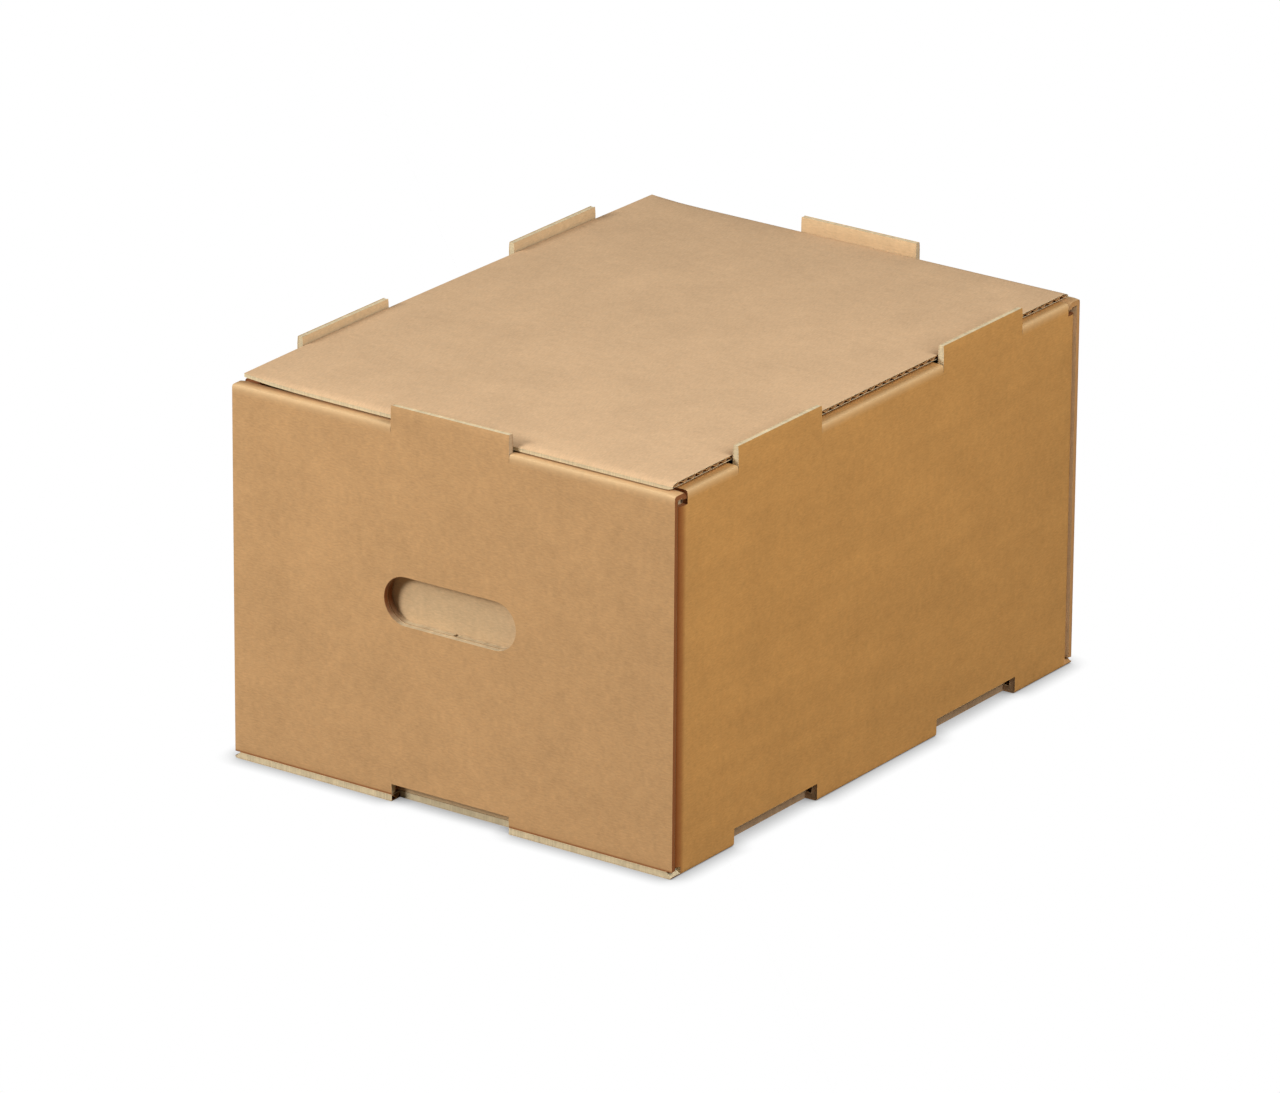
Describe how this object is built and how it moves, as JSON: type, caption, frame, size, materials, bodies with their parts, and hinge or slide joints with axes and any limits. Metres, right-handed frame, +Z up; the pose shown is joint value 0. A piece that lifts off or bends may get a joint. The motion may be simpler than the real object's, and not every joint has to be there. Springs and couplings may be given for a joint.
{
  "type": "closed cardboard box",
  "caption": "Closed stackable box of corrugated cardboard with rolled double walls, hand holes, stacking tabs and notches, and a loose flat lid.",
  "frame": {"origin": "middle of the underside, on the surface the box stands on", "axes": "+X along the length, +Y across the width, +Z up; the ends with the hand holes face -X and +X"},
  "size_m": [0.4, 0.3, 0.234],
  "materials": {
    "board_wrap": "matte",
    "board_ends": "matte",
    "board_lid": "matte"
  },
  "bodies": {
    "root": {"tray_wrap": "board_wrap", "end_panel_left": "board_ends", "end_panel_right": "board_ends", "lid": "board_lid"}
  },
  "joints": []
}
